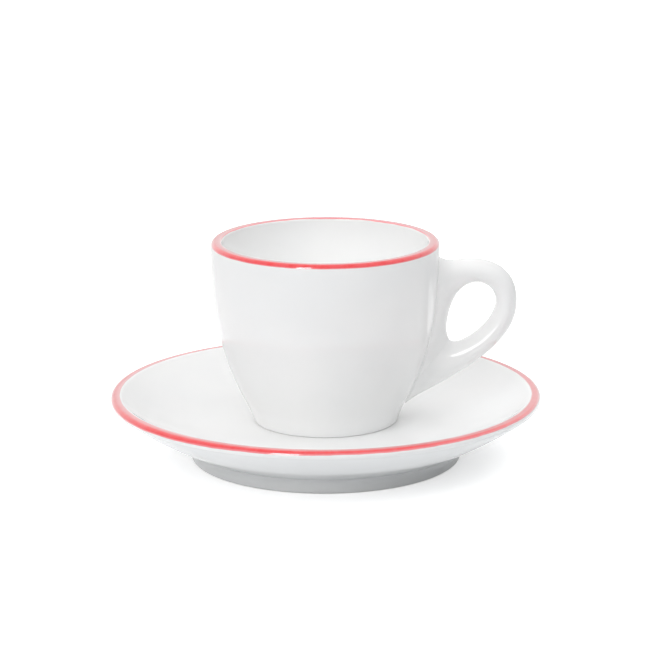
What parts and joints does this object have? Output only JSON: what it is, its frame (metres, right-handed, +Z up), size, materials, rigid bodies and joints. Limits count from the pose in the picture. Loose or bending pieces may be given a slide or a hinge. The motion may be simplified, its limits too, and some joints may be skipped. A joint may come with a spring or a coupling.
{
  "type": "espresso cup with saucer",
  "caption": "Small thick-walled porcelain coffee cup with a pierced ear handle, standing on a dished saucer with a foot ring; both rims edged in red.",
  "frame": {"origin": "middle of the saucer's foot ring, on the table", "axes": "+Z up along the common axis of cup and saucer, +X towards the cup's handle, +Y away from the viewer of the picture"},
  "size_m": [0.12, 0.12, 0.0616],
  "materials": {
    "glaze": "white porcelain under a clear glossy glaze",
    "enamel": "glossy red enamel, fired on"
  },
  "bodies": {
    "saucer": {"saucer_plate": "glaze", "saucer_rim_band": "enamel"},
    "cup": {"cup_body": "glaze", "cup_handle": "glaze", "cup_rim_band": "enamel"}
  },
  "joints": [
    {"name": "cup_lift", "type": "slide", "parent": "saucer", "child": "cup", "axis": [0, 0, 1], "range_m": [0, 0.1]}
  ]
}
